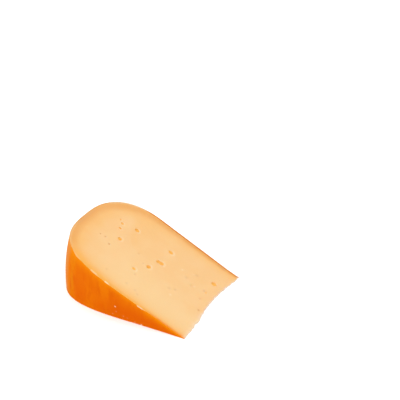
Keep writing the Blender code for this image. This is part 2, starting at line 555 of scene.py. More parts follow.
class Shader:
    """A material's node tree, with short ways to add to it."""

    def __init__(self, name: str) -> None:
        """Start a material that holds one Principled shader.

        Args:
            name: The material's name.
        """
        self.material = bpy.data.materials.new(name)
        self.material.use_nodes = True
        self.tree = self.material.node_tree
        self.surface = self.tree.nodes["Principled BSDF"]

    def wire(self, node: bpy.types.Node, inputs: Inputs) -> None:
        """Link or set inputs of a node.

        Args:
            node: The node.
            inputs: Another node's output or a constant, by the name or number of the input.
        """
        for name, value in inputs.items():
            socket = node.inputs[name]
            if isinstance(value, Output):
                self.tree.links.new(value, socket)
            elif socket.type == "RGBA":
                socket.default_value = (*value, 1.0)
            else:
                socket.default_value = value

    def finish(self, inputs: Inputs) -> Material:
        """Link or set inputs of the shader, and give its material."""
        self.wire(self.surface, inputs)
        return self.material

    def mask(self, mask: Mask) -> Output:
        """Read the values that a piece keeps at its points.

        Args:
            mask: Their name.

        Returns:
            The value at each place, from 0 to 1.
        """
        node = self.tree.nodes.new("ShaderNodeAttribute")
        node.attribute_name = mask.value
        return node.outputs["Fac"]

    def noise(self, size: float, detail: float, stretch: Colour = PLAIN) -> Output:
        """Add a noise pattern.

        Args:
            size: The distance between lumps, in metres.
            detail: How many finer layers it has.
            stretch: How much finer it is along X, Y and Z.

        Returns:
            The pattern's value, from 0 to 1.
        """
        place = self.tree.nodes.new("ShaderNodeTexCoord")
        scale = self.tree.nodes.new("ShaderNodeMapping")
        node = self.tree.nodes.new("ShaderNodeTexNoise")
        self.wire(scale, {"Scale": stretch, "Vector": place.outputs["Object"]})
        inputs = {"Scale": 1.0 / size, "Detail": detail, "Vector": scale.outputs["Vector"]}
        self.wire(node, inputs)
        return node.outputs["Fac"]

    def ramp(self, value: Output, low: float, high: float) -> Output:
        """Stretch a value to a new range.

        Args:
            value: The value to stretch.
            low: The value that becomes 0.
            high: The value that becomes 1.

        Returns:
            The result, kept between 0 and 1.
        """
        node = self.tree.nodes.new("ShaderNodeMapRange")
        self.wire(node, {"Value": value, "From Min": low, "From Max": high})
        return node.outputs["Result"]

    def times(self, first: Output, second: Output | float) -> Output:
        """Multiply two values.

        Args:
            first: A node that gives one value.
            second: A node that gives the other, or a constant.

        Returns:
            Their product.
        """
        node = self.tree.nodes.new("ShaderNodeMath")
        node.operation = "MULTIPLY"
        self.wire(node, {0: first, 1: second})
        return node.outputs["Value"]

    def mix(self, share: Output, base: Output | Colour, other: Output | Colour) -> Output:
        """Blend two colours.

        Args:
            share: How much of the other colour is taken.
            base: A colour, or a node that gives one.
            other: A colour, or a node that gives one.

        Returns:
            The blended colour.
        """
        node = self.tree.nodes.new("ShaderNodeMix")
        node.data_type = "RGBA"
        self.wire(node, {0: share, 6: base, 7: other})
        return node.outputs[2]

    def bump(self, height: Output, distance: float, strength: float) -> Output:
        """Turn a height pattern into surface relief.

        Args:
            height: The pattern.
            distance: The height of a full step, in metres.
            strength: How strongly it shows.

        Returns:
            The tilted normal.
        """
        node = self.tree.nodes.new("ShaderNodeBump")
        self.wire(node, {"Strength": strength, "Distance": distance, "Height": height})
        return node.outputs["Normal"]


@dataclass(frozen=True)
class PasteFinish:
    """The cut paste: pale, waxy and slightly translucent."""

    core: Colour = (0.661, 0.434, 0.203)
    # Painted shade: the darker tone over the far half of the upper face, also laid towards the
    # rim and near the tip.
    far_core: Colour = (0.657, 0.401, 0.174)
    mottle: Colour = (0.666, 0.451, 0.222)
    mottle_share: float = 0.4
    tones: tuple[tuple[Mask, Colour], ...] = (
        (Mask.AMBER, (0.668, 0.296, 0.030)),
        (Mask.STAIN, (0.655, 0.190, 0.008)),
        (Mask.BAND, (0.651, 0.308, 0.045)),
        (Mask.BROWN, (0.551, 0.214, 0.040)),
        # The tip edge's pale tone: dried paste, lightened further as painted light against the
        # shade by the floor.
        (Mask.TIP, (0.711, 0.513, 0.380)),
        # Painted shade in the pits, the pinholes and along the rim edge, and the broken far line.
        (Mask.PIT, (0.500, 0.255, 0.120)),
        # Painted shade inside the eyes.
        (Mask.EYE, (0.725, 0.362, 0.067)),
        # Pale flecks and bared paste, and a painted highlight on the eyes' lips.
        (Mask.PALE, (0.686, 0.545, 0.347)),
    )
    roughness: float = 0.48
    specular: float = 0.25
    subsurface: float = 0.25
    subsurface_radius: Colour = (1.0, 0.55, 0.25)
    subsurface_scale: float = 0.0025

    def material(self) -> Material:
        """Make the material.

        Returns:
            The material, with its node tree.
        """
        shader = Shader("cheese_paste")
        patches = shader.ramp(shader.noise(0.016, 3.0), 0.42, 0.66)
        colour = shader.mix(shader.mask(Mask.FAR), self.core, self.far_core)
        colour = shader.mix(shader.times(patches, self.mottle_share), colour, self.mottle)
        for mask, tone in self.tones:
            colour = shader.mix(shader.mask(mask), colour, tone)
        return shader.finish(
            {
                "Base Color": colour,
                "Normal": shader.bump(shader.noise(0.0009, 4.0), 0.00012, 0.3),
                "Roughness": self.roughness,
                "Specular IOR Level": self.specular,
                "Subsurface Weight": self.subsurface,
                "Subsurface Radius": self.subsurface_radius,
                "Subsurface Scale": self.subsurface_scale,
            }
        )


@dataclass(frozen=True)
class CoatFinish:
    """The orange coat, satin and faintly mottled."""

    orange: Colour = (0.580, 0.1135, 0.0002)
    light: Colour = (0.606, 0.142, 0.0002)
    deep: Colour = (0.528, 0.0825, 0.0002)
    # Painted light: the lighter orange along the upper edge and the near side's bottom edge.
    strip: Colour = (0.667, 0.204, 0.0006)
    # Painted shade on the near side: low towards the front and by the rim corner.
    shade: Colour = (0.548, 0.084, 0.0002)
    gold: Colour = (0.566, 0.142, 0.0002)
    # Painted sheen: the paler tone that stands in for the grazing reflection round the rim
    # corners.
    dry: Colour = (0.535, 0.222, 0.060)
    near_cut: Colour = (0.658, 0.322, 0.068)
    far_cut: Colour = (0.575, 0.175, 0.018)
    rim_cut: Colour = (0.653, 0.339, 0.116)
    pale: Colour = (0.711, 0.519, 0.324)
    streak_share: float = 0.75
    speck_share: float = 0.3
    sheen_share: float = 0.55
    patchy_sheen_share: float = 0.4
    roughness: float = 0.45
    specular: float = 0.0
    glaze: float = 0.035
    glaze_roughness: float = 0.3

    def material(self) -> Material:
        """Make the material.

        Returns:
            The material, with its node tree.
        """
        shader = Shader("orange_coat")
        streaks = shader.ramp(shader.noise(0.006, 4.0, (1.0, 1.0, 0.35)), 0.42, 0.62)
        blots = shader.ramp(shader.noise(0.005, 3.0, (1.0, 1.0, 0.28)), 0.52, 0.70)
        specks = shader.ramp(shader.noise(0.0020, 3.0, (1.0, 1.0, 0.6)), 0.50, 0.68)
        # Noise that makes the painted sheen patchy.
        wear_and_sheen_noise = shader.ramp(shader.noise(0.007, 4.0, (1.0, 1.0, 0.5)), 0.36, 0.60)
        colour = shader.mix(shader.mask(Mask.GOLD), self.orange, self.gold)
        colour = shader.mix(shader.times(streaks, self.streak_share), colour, self.light)
        colour = shader.mix(shader.times(blots, self.streak_share), colour, self.deep)
        colour = shader.mix(shader.times(specks, self.speck_share), colour, self.deep)
        # Painted shade on the near side.
        colour = shader.mix(shader.mask(Mask.SHADE), colour, self.shade)
        # Painted light along the upper edge, and a painted glow of bounced light along the bottom
        # edge.
        colour = shader.mix(shader.mask(Mask.STRIP), colour, self.strip)
        # Painted sheen round the rim corners: an even share, then patches of it where the noise
        # is high.
        dry = shader.times(shader.mask(Mask.PAINTED_SHEEN), self.sheen_share)
        colour = shader.mix(dry, colour, self.dry)
        worn = shader.times(shader.mask(Mask.PAINTED_SHEEN), wear_and_sheen_noise)
        colour = shader.mix(shader.times(worn, self.patchy_sheen_share), colour, self.dry)
        edge = shader.mix(shader.mask(Mask.FAR), self.near_cut, self.far_cut)
        edge = shader.mix(shader.mask(Mask.RIM), edge, self.rim_cut)
        colour = shader.mix(shader.mask(Mask.CUT), colour, edge)
        colour = shader.mix(shader.mask(Mask.PALE), colour, self.pale)
        return shader.finish(
            {
                "Base Color": colour,
                "Normal": shader.bump(shader.noise(0.0011, 3.0), 0.00015, 0.25),
                "Roughness": self.roughness,
                "Specular IOR Level": self.specular,
                "Coat Weight": self.glaze,
                "Coat Roughness": self.glaze_roughness,
            }
        )


@dataclass(frozen=True)
class FloorFinish:
    """The plain pale floor."""

    colour: Colour = (0.94, 0.94, 0.94)
    roughness: float = 0.8
    specular: float = 0.1

    def material(self) -> Material:
        """Make the material.

        Returns:
            The material, with its node tree.
        """
        return Shader("pale_floor").finish(
            {
                "Base Color": self.colour,
                "Roughness": self.roughness,
                "Specular IOR Level": self.specular,
            }
        )


@dataclass(frozen=True)
class Chip:
    """A place along the near upper edge where the coat broke away, in millimetres."""

    start: float
    length: float
    bite: float
    width: float
    inward: float = -1.0

    def share(self, along: Array) -> Array:
        """How strongly the chip acts at places along, from 0 to 1."""
        run = (self.start * MM - along) / (self.length * MM)
        return smooth_step(run, -0.05, 0.08) * smooth_step(run, 1.0, 0.35)


CHIPS = (
    Chip(87.5, 10.5, 0.25, 1.5, 0.7),
    Chip(73.5, 6.2, 0.30, 1.3),
    Chip(43.2, 9.5, 0.90, 0.5),
)


@dataclass(frozen=True)
class Eye:
    """One small round hole in a cut face, in millimetres and degrees."""

    along: float
    across: float
    length: float
    width: float
    depth: float
    turn: float = 0.0


@dataclass(frozen=True)
class Mark:
    """One soft round mark on the upper cut face, in millimetres.

    The strength is a pit's depth, or how pale a fleck is, from 0 to 1.
    """

    along: float
    across: float
    radius: float
    strength: float


@dataclass
class Paste:
    """The pale paste inside the coat, with its two cut faces and worn tip edge."""

    form: WedgeForm
    spacing: float = 0.85 * MM
    inset: float = 0.32 * MM
    far_inset: float = 0.45 * MM
    upper_rings: int = 78
    lower_rings: int = 42
    edge_steps: tuple[float, ...] = (0.0, 0.12 * MM, 0.3 * MM, 0.55 * MM, 0.9 * MM)
    soft_edge: float = 0.55 * MM
    wall_shares: tuple[float, ...] = (0.0, 0.03, 0.2, 0.4, 0.6, 0.8, 0.9, 0.95, 0.985, 1.0)
    centre: tuple[float, float] = (0.066, 0.0)
    wave_height: float = 0.14 * MM
    wave_size: float = 24 * MM
    grain_height: float = 0.05 * MM
    grain_size: float = 2.4 * MM
    stroke_height: float = 0.025 * MM
    stroke_size: float = 4.2 * MM
    dry_depth: float = 0.16 * MM
    dry_reach: float = 1.6 * MM
    worn_height: float = 0.35 * MM
    worn_size: float = 2.2 * MM
    tip_lean: float = 0.3 * MM
    eye_lift: float = 0.25
    eye_spread: float = 1.26
    eye_shallow: float = 0.7
    eye_unevenness: float = 0.09
    eye_rim: float = 1.12
    light_side: tuple[float, float] = (0.85, 0.55)
    sink_limit: float = 0.3
    shallow: float = 1.0 * MM
    upper_eyes: tuple[Eye, ...] = (
        Eye(61.2, 4.6, 3.4, 3.2, 1.9),
        Eye(58.3, 5.0, 4.2, 3.4, 1.9),
        Eye(64.0, -7.6, 3.6, 3.5, 1.9, 12.0),
        Eye(59.4, 23.4, 4.2, 3.2, 1.6, 15.0),
        Eye(95.1, 20.3, 3.8, 2.9, 1.7, 18.0),
        Eye(99.9, -1.1, 3.6, 3.2, 1.7, 15.0),
        Eye(112.7, 19.2, 2.4, 1.6, 1.0, 40.0),
        Eye(108.9, 16.3, 2.7, 2.0, 1.2, 12.0),
        Eye(107.0, 9.8, 2.7, 1.8, 1.4, 15.0),
        Eye(71.7, -19.9, 3.6, 2.7, 1.0, 10.0),
        Eye(12.7, 24.5, 4.5, 3.7, 1.6, 14.0),
        Eye(12.8, 9.8, 2.4, 1.8, 0.8),
    )
    pinholes: tuple[Eye, ...] = (
        Eye(114.8, -10.5, 1.2, 1.0, 0.8),
        Eye(109.8, -9.5, 1.3, 1.0, 0.8),
        Eye(102.5, -14.2, 1.5, 1.1, 0.9, 20.0),
        Eye(7.4, -12.7, 1.5, 1.0, 0.7),
    )
    pits: tuple[Mark, ...] = (
        Mark(78.5, -1.9, 1.0, 0.3),
        Mark(69.5, -8.0, 0.8, 0.25),
        Mark(67.7, -24.2, 1.0, 0.3),
        Mark(66.9, -38.3, 1.0, 0.3),
        Mark(87.6, -39.5, 0.9, 0.25),
        Mark(57.5, -39.2, 0.9, 0.25),
        Mark(53.7, -41.5, 0.9, 0.25),
        Mark(38.5, -13.1, 1.3, 0.45),
        Mark(33.8, -10.2, 1.2, 0.35),
        Mark(34.0, 10.2, 1.5, 0.45),
        Mark(28.5, 20.1, 1.7, 0.45),
        Mark(26.5, 6.1, 1.4, 0.5),
        Mark(13.2, -0.2, 1.3, 0.4),
        Mark(14.7, 10.6, 1.3, 0.5),
    )
    flecks: tuple[Mark, ...] = (
        Mark(41.1, 14.6, 0.8, 0.60),
        Mark(33.7, -18.4, 1.1, 0.45),
        Mark(31.6, 18.3, 0.9, 0.25),
        Mark(23.8, 7.3, 0.9, 0.35),
    )
    lower_eyes: tuple[Eye, ...] = (
        Eye(42.0, 18.0, 4.6, 3.6, 2.1),
        Eye(54.5, -24.0, 3.8, 3.1, 1.8),
        Eye(87.0, 8.0, 4.1, 3.0, 1.9),
        Eye(90.5, 12.0, 3.3, 2.8, 1.6),
        Eye(105.0, -16.0, 2.6, 2.1, 1.2),
        Eye(99.0, 27.0, 3.2, 2.4, 1.4),
        Eye(30.0, -12.0, 3.4, 2.6, 1.5),
    )

    def rows(self) -> Array:
        """Lay out the closed wall: the skin side, then back along the tip edge.

        Returns:
            Along, across and height, by the wall's rows and columns.
        """
        shares = np.array(self.wall_shares)
        outline = self.form.skin_outline(self.spacing, self.inset)
        far = step_mm(outline[:, 1], 30, 44)[:, None]
        outline = outline - self.far_inset * far * outward_of(outline)
        skin = self.form.wall(outline, shares)
        ends = outline[-1, 1], outline[0, 1]
        count = int((ends[0] - ends[1]) / self.spacing)
        across = np.linspace(*ends, count + 2)[1:-1]
        base = across[:, None] * (1.0, 0.0, 0.0)
        fade = step_mm(np.minimum(ends[0] - across, across - ends[1]), 0.0, 4)
        wear_and_sheen_noise = Unevenness(Seed.TIP_WEAR).layered(base, self.worn_size)
        worn = self.worn_height * np.abs(wear_and_sheen_noise) * fade
        along = self.form.tip_recess(across) + worn
        lean = self.tip_lean * shares**2
        tip_along = along[None, :] + lean[:, None] * fade
        top = self.form.climb(tip_along, across[None, :])
        spread = np.broadcast_to(across, top.shape)
        tip = np.stack([tip_along, spread, shares[:, None] * top], axis=-1)
        return np.concatenate([skin, tip], axis=1)

    def face(self, rim: Array, rings: int) -> tuple[Array, Array]:
        """Fill a cut face by rings that close in on its centre.

        Args:
            rim: Along and across of the face's outline.
            rings: How many rings it has inside its narrow edge.

        Returns:
            Along and across of each ring's points, and how far in they lie.
        """
        inward = np.array(self.centre) - rim
        span = np.linalg.norm(inward, axis=1)
        edge = np.array(self.edge_steps)[:, None] * np.ones(len(rim))
        last = edge[-1] / span
        share = np.linspace(0.0, 1.0, rings + 2)[1:-1, None]
        inner = span * (last + (1.0 - last) * share)
        depth = np.vstack([edge, inner])
        return rim[None] + (depth / span)[:, :, None] * inward[None], depth

    def relief(self, places: Array, depth: Array) -> Array:
        """How far a cut face lies under its true plane.

        Args:
            places: Rows of along, across and height on the face.
            depth: How far in from the face's outline each place lies.

        Returns:
            The distance into the paste at each place, never below zero.
        """
        waves = Unevenness(Seed.FACE_WAVES).layered(places, self.wave_size, 2)
        grain = Unevenness(Seed.FACE_GRAIN).layered(places, self.grain_size)
        strokes = Unevenness(Seed.FACE_STROKES).at(places * (1.0, 0.12, 0.0), self.stroke_size)
        dry = self.dry_depth * np.exp(-depth / self.dry_reach)
        soft = 0.3 * self.soft_edge * np.clip(1.0 - depth / self.soft_edge, 0.0, 1.0) ** 2
        sink = 0.5 * self.wave_height * (1.0 + waves)
        sink += 0.5 * self.grain_height * (1.0 + grain)
        sink += 0.5 * self.stroke_height * (1.0 + strokes)
        return sink + dry + soft

    def spot(self, places: Array, mark: Mark) -> Array:
        """Find how strongly a mark of the upper face acts on places.

        Args:
            places: Rows of along, across and height.
            mark: The mark.

        Returns:
            A share from 0 to 1 for each place.
        """
        along = places[:, 0] / math.cos(self.form.cut_angle) - mark.along * MM
        apart = np.hypot(along, places[:, 1] - mark.across * MM)
        return np.exp(-((apart / (mark.radius * MM)) ** 2))

    def add_face(self, draft: MeshDraft, ring: Indices, rim: Array, is_upper: bool) -> None:
        """Close the wall by a cut face.

        Args:
            draft: The body's draft, which starts with the wall's points.
            ring: The wall's points round the face.
            rim: Along and across of these points.
            is_upper: Whether the face is the upper one.
        """
        plan, depth = self.face(rim, self.upper_rings if is_upper else self.lower_rings)
        room = self.form.climb(plan[..., 0], plan[..., 1])
        height = room if is_upper else 0.0 * room
        places = np.concatenate([plan, height[..., None]], axis=-1).reshape(-1, 3)
        sink = self.relief(places, depth.reshape(-1))
        if is_upper:
            sink += sum(pit.strength * MM * self.spot(places, pit) for pit in self.pits)
        sink = np.minimum(sink, self.sink_limit * room.reshape(-1))
        if is_upper:
            places[:, 0] += sink * math.sin(self.form.cut_angle)
            places[:, 2] -= sink * math.cos(self.form.cut_angle)
        else:
            places[:, 2] += sink
        points = self.form.to_row(places).reshape(*depth.shape, 3)
        draft.points[0][ring] = points[0]
        inner = draft.add_points(points[1:].reshape(-1, 3)).reshape(depth[1:].shape)
        draft.add_grid(np.vstack([ring[None], inner]))
        middle = draft.add_points(points[-1].mean(axis=0, keepdims=True))
        draft.add_fan(inner[-1], int(middle[0]))

    def body(self) -> Object:
        """Build the closed body before its eyes are cut.

        Returns:
            The body, linked to the scene.
        """
        draft = MeshDraft()
        rows = self.rows()
        wall = draft.add_points(self.form.to_row(rows)).reshape(rows.shape[:2])
        draft.add_grid(wall)
        for is_upper, row in ((True, -1), (False, 0)):
            self.add_face(draft, wall[row], rows[row, :, :2], is_upper)
        return draft.build("paste")

    def eye_frame(self, eye: Eye, is_upper: bool) -> tuple[Array, Array]:
        """Place one eye in the row frame.

        Args:
            eye: The eye.
            is_upper: Whether it lies in the upper cut face.

        Returns:
            The middle of its egg, and the egg's three half axes as rows.
        """
        along, across = eye.along * MM, eye.across * MM
        deep = self.eye_shallow * eye.depth * MM
        lift = self.eye_lift * deep
        wide = 0.5 * self.eye_spread * MM
        half = np.array([wide * eye.length, wide * eye.width, deep + lift])
        turn = self.form.cut_angle if is_upper else 0.0
        ground, height = along * math.cos(turn), 0.0
        if is_upper:
            height = float(self.form.climb(np.array(ground), np.array(across)))
        sin, cos = math.sin(turn), math.cos(turn)
        axes = np.array([[cos, 0.0, -sin], [0.0, 1.0, 0.0], [sin, 0.0, cos]])
        spin = math.radians(eye.turn)
        sin, cos = math.sin(spin), math.cos(spin)
        axes[:2] = np.array([[cos, -sin], [sin, cos]]) @ axes[:2]
        middle = self.form.to_row(np.array([[ground, across, height]]))[0]
        middle = middle + (lift if is_upper else -lift) * axes[2]
        return middle, half[:, None] * axes

    def eyes(self) -> list[tuple[Array, Array]]:
        """Place every eye and pinhole of both cut faces."""
        upper = [self.eye_frame(eye, True) for eye in self.upper_eyes + self.pinholes]
        return upper + [self.eye_frame(eye, False) for eye in self.lower_eyes]

    def egg(self, number: int, middle: Array, axes: Array) -> Object:
        """Make the slightly uneven egg that cuts one eye.

        Args:
            number: The eye's number, which moves the noise.
            middle: The egg's middle.
            axes: Its three half axes as rows.

        Returns:
            The egg, not linked to the scene.
        """
        shape = bmesh.new()
        bmesh.ops.create_uvsphere(shape, u_segments=36, v_segments=24, radius=1.0)
        mesh = bpy.data.meshes.new(f"egg_{number}")
        shape.to_mesh(mesh)
        shape.free()
        ball = mesh_points(mesh)
        noise = Unevenness(Seed.EYE_SHAPES).at(ball + 3.0 * number, 0.9)
        points = middle + (ball * (1.0 + self.eye_unevenness * noise)[:, None]) @ axes
        mesh.vertices.foreach_set("co", points.reshape(-1))
        return bpy.data.objects.new(f"egg_{number}", mesh)

    def cut_eyes(self, body: Object) -> None:
        """Cut every eye out of the body.

        Args:
            body: The paste's closed body.
        """
        cutters = bpy.data.collections.new("paste_cutters")
        eggs = [self.egg(number, *frame) for number, frame in enumerate(self.eyes())]
        for egg in eggs:
            cutters.objects.link(egg)
        modifier = body.modifiers.new("eyes", "BOOLEAN")
        modifier.operation = "DIFFERENCE"
        modifier.solver = "MANIFOLD"
        modifier.operand_type = "COLLECTION"
        modifier.collection = cutters
        graph = bpy.context.evaluated_depsgraph_get()
        carved = bpy.data.meshes.new_from_object(body.evaluated_get(graph), depsgraph=graph)
        body.modifiers.clear()
        body.data = carved
        for egg in eggs:
            bpy.data.objects.remove(egg)
        bpy.data.collections.remove(cutters)

    def near_amber(self, along: Array, depth: Array) -> Array:
        """How amber the paste is along the near side.

        Args:
            along: Places along.
            depth: How deep the places lie under the skin.

        Returns:
            A share from 0 to 1 for each place.
        """
        back = step_mm(along, 54, 108)
        reach = (5.25 + 3.6 * back) * MM
        power = 1.26 + 1.2 * back
        return (0.99 - 0.16 * back) * np.exp(-((depth / reach) ** power))

    def far_band(self, along: Array, depth: Array) -> tuple[Array, Array]:
        """How far the paste is darkened and browned along the far side.

        Args:
            along: Places along.
            depth: How deep the places lie under the skin.

        Returns:
            The share of the darker band, and the share of the brown line in it.
        """
        front = step_mm(along, 4, 28)
        middle = step_mm(along, 30, 60)
        back = step_mm(along, 60, 90)
        reach = (5.5 + 2.1 * front + 7.0 * back) * MM
        power = 1.72 - 0.9 * middle - 0.32 * back
        band = (0.865 + 0.09 * back) * np.exp(-((depth / reach) ** power))
        inner = (4.05 + 3.0 * front + 1.5 * middle + 3.65 * back) * MM
        outer = (0.25 * middle + 4.55 * back) * MM
        share = (inner - depth) / (inner - outer)
        brown = (0.90 - 0.235 * middle - 0.265 * back) * smooth_step(share, 0.0, 1.0)
        return band, brown

    def rim_band(self, across: Array, depth: Array) -> tuple[Array, Array]:
        """How far the paste is darkened and browned along the rim.

        Args:
            across: Places across.
            depth: How deep the places lie under the skin.

        Returns:
            The share of the darker band, and the share of the brown line in it.
        """
        band = 0.50 + 0.20 * step_mm(across, -20, -40)
        band *= np.exp(-((depth / (16.6 * MM)) ** 3.25))
        wider = 2.6 * MM * step_mm(across, 15, 45)
        brown = 0.415 + 0.07 * step_mm(across, -40, -5)
        brown -= 0.06 * step_mm(across, 3, 20)
        brown *= step_mm(depth - wider, 11.4, 3.5)
        return band, brown

    def keep_bands(self, survey: Survey) -> None:
        """Keep how far the paste is darkened near the skin, and where it browned.

        Args:
            survey: Where the paste's points lie.
        """
        along, across = survey.along, survey.across
        uneven = 1.0 + 0.2 * survey.noise(Seed.BAND_DEPTH, 9)
        depth = np.clip(survey.depth, 0.0, None) / uneven
        is_far = step_mm(survey.nearest, -5, 25)
        near_rim = smooth_step(survey.rimward, 0.32, 0.85)
        rim = near_rim + (smooth_step(survey.rimward, 0.1, 0.5) - near_rim) * is_far
        far = is_far * (1.0 - rim)
        far_band, far_brown = self.far_band(along, depth)
        far_brown *= 1.0 + 0.35 * survey.noise(Seed.BROWN_LINE, 3)
        rim_band, rim_brown = self.rim_band(across, depth)
        bare = step_mm(survey.under, 0.15, 0.5) * step_mm(along, 90, 98)
        amber = self.near_amber(along, depth) * (1.0 - 0.45 * bare)
        survey.keep(Mask.AMBER, amber * (1.0 - far - rim))
        stain = step_mm(depth, 3.1, 0.9) * step_mm(along, 42, 22)
        tip_stain = step_mm(depth, 4.0, 1.5) * step_mm(along, 9, 3)
        survey.keep(Mask.STAIN, np.where(survey.is_near, stain, 0.35 * tip_stain))
        survey.keep(Mask.BAND, far_band * far + rim_band * rim)
        survey.keep(Mask.BROWN, far_brown * far + rim_brown * rim)
        # Painted shade: the upper face darker over its far half; the same tone is laid towards
        # the rim and near the tip.
        dull = np.maximum(step_mm(across, -30, 5), step_mm(along, 65, 100))
        tipward = step_mm(along, 40, 15) * step_mm(across, -30, -10)
        survey.keep(Mask.FAR, np.maximum(dull, tipward))

    def eye_areas(self, survey: Survey) -> tuple[Array, Array]:
        """Find the eyes, and the painted highlight on their lips on the side that faces the
        light.

        Args:
            survey: Where the paste's points lie.

        Returns:
            1 for the points in an eye, and how strong the painted highlight on the lips is at
            each point.
        """
        inside = np.zeros(len(survey.points))
        lip_highlight = np.zeros(len(survey.points))
        for middle, axes in self.eyes():
            size = np.linalg.norm(axes, axis=1)
            local = (survey.points - middle) @ (axes / size[:, None] ** 2).T
            flat = np.linalg.norm(local[:, :2], axis=1)
            inside = np.maximum(inside, np.linalg.norm(local, axis=1) < self.eye_rim)
            side = (local[:, :2] @ np.array(self.light_side)) / np.maximum(flat, 0.01)
            # Painted highlight on the lips, on the side that faces the light.
            ring = smooth_step(flat, 0.75, 1.15) * smooth_step(flat, 2.1, 1.2)
            ring *= np.abs(local[:, 2]) < 0.8
            ring *= step_mm(self.form.tip_x - middle[0], 8, 40)
            lip_highlight = np.maximum(lip_highlight, ring * smooth_step(side, -0.3, 0.8))
        return inside, lip_highlight

    def pale_areas(self, survey: Survey, is_shallow: Array) -> Array:
        """Find the flecks, the paste that the chips bare, and the worn rim edge.

        Args:
            survey: Where the paste's points lie.
            is_shallow: Which of them lie close to a cut face.

        Returns:
            How pale each point is, from 0 to 1.
        """
        flecks = [fleck.strength * self.spot(survey.places, fleck) for fleck in self.flecks]
        pale = np.max(flecks, axis=0) * is_shallow
        edge = survey.depth - self.inset
        for chip in CHIPS:
            share = chip.share(survey.along) * survey.is_near
            bare = step_mm(edge - chip.width * MM * share, 0.0, -0.4)
            bare *= step_mm(edge, chip.inward - 0.4, chip.inward + 0.3)
            pale = np.maximum(pale, 0.75 * bare * step_mm(survey.under, 2.6, 1.6))
        worn = 0.35 + 0.2 * survey.noise(Seed.FAR_ARC, 7)
        worn *= step_mm(edge, 1.7, 0.8) * survey.far_arc()
        rubbed = 0.2 * step_mm(edge, 2.4, 0.8) * smooth_step(survey.rimward, 0.5, 0.8)
        rubbed *= step_mm(survey.across, -14, -22)
        return np.maximum(np.maximum(pale, worn), rubbed)

    def pit_areas(self, survey: Survey) -> Array:
        """Find the painted shade in the pits, in the pinholes and along the rim edge's middle,
        and the broken far line.

        Args:
            survey: Where the paste's points lie.

        Returns:
            How dark each point is, from 0 up.
        """
        # Painted shade along the middle of the rim edge.
        dull = step_mm(survey.across, -24, -12) * step_mm(survey.across, 13, 5)
        dull *= smooth_step(survey.rimward, 0.4, 0.7) * step_mm(survey.depth, 5.0, 2.5)
        noise = survey.noise(Seed.BROKEN_LINE, 4)
        broken = np.clip(0.1 + 1.6 * noise, 0.0, 1.0) * (survey.nearest > 0.0)
        broken *= np.exp(-(((survey.depth - 3.4 * MM) / (0.8 * MM)) ** 2))
        pits = 0.22 * dull + 0.5 * broken * step_mm(survey.along, 75, 60)
        # Painted shade in the pits and the pinholes.
        for pit in self.pits:
            pits += 0.3 * self.spot(survey.places, pit)
        for hole in self.pinholes:
            dot = Mark(hole.along, hole.across, 0.6 * hole.length, hole.depth)
            pits += self.spot(survey.places, dot)
        return pits

    def keep_masks(self, survey: Survey) -> None:
        """Keep all the values that the finish reads.

        Args:
            survey: Where the paste's points lie.
        """
        self.keep_bands(survey)
        under = survey.under * math.cos(self.form.cut_angle)
        sunk = np.minimum(under, survey.height)
        inside, lip_highlight = self.eye_areas(survey)
        # Painted shade inside the eyes, growing over the first 0.7 mm below the face.
        survey.keep(Mask.EYE, inside * step_mm(sunk, 0.2, 0.7))
        is_shallow = sunk < self.shallow
        pale = self.pale_areas(survey, is_shallow)
        # Painted highlight on the eyes' lips on the side that faces the light, laid in with the
        # pale flecks and bared paste.
        survey.keep(Mask.PALE, np.maximum(pale, 0.45 * lip_highlight * (1.0 - inside)))
        # Painted shade in the pits, the pinholes and along the rim edge.
        survey.keep(Mask.PIT, self.pit_areas(survey) * is_shallow)
        # The tip edge is paler: dried paste, lightened further as painted light against the shade
        # by the floor.
        edge = survey.along - self.form.tip_recess(survey.across)
        reach = (0.5 + 0.9 * step_mm(survey.across, -8, -20)) * MM
        worn = np.exp(-np.clip(edge - self.tip_lean, 0.0, None) / reach)
        survey.keep(Mask.TIP, 0.9 * worn)

    def build(self) -> Object:
        """Build and dress the paste.

        Returns:
            The piece, linked to the scene.
        """
        paste = self.body()
        self.cut_eyes(paste)
        self.keep_masks(self.form.survey(paste.data))
        dress(paste, PasteFinish().material())
        return paste


@dataclass(frozen=True)
class Scuff:
    """A small worn spot on the coat, its point and radius in millimetres."""

    point: tuple[float, float, float]
    radius: float
    strength: float


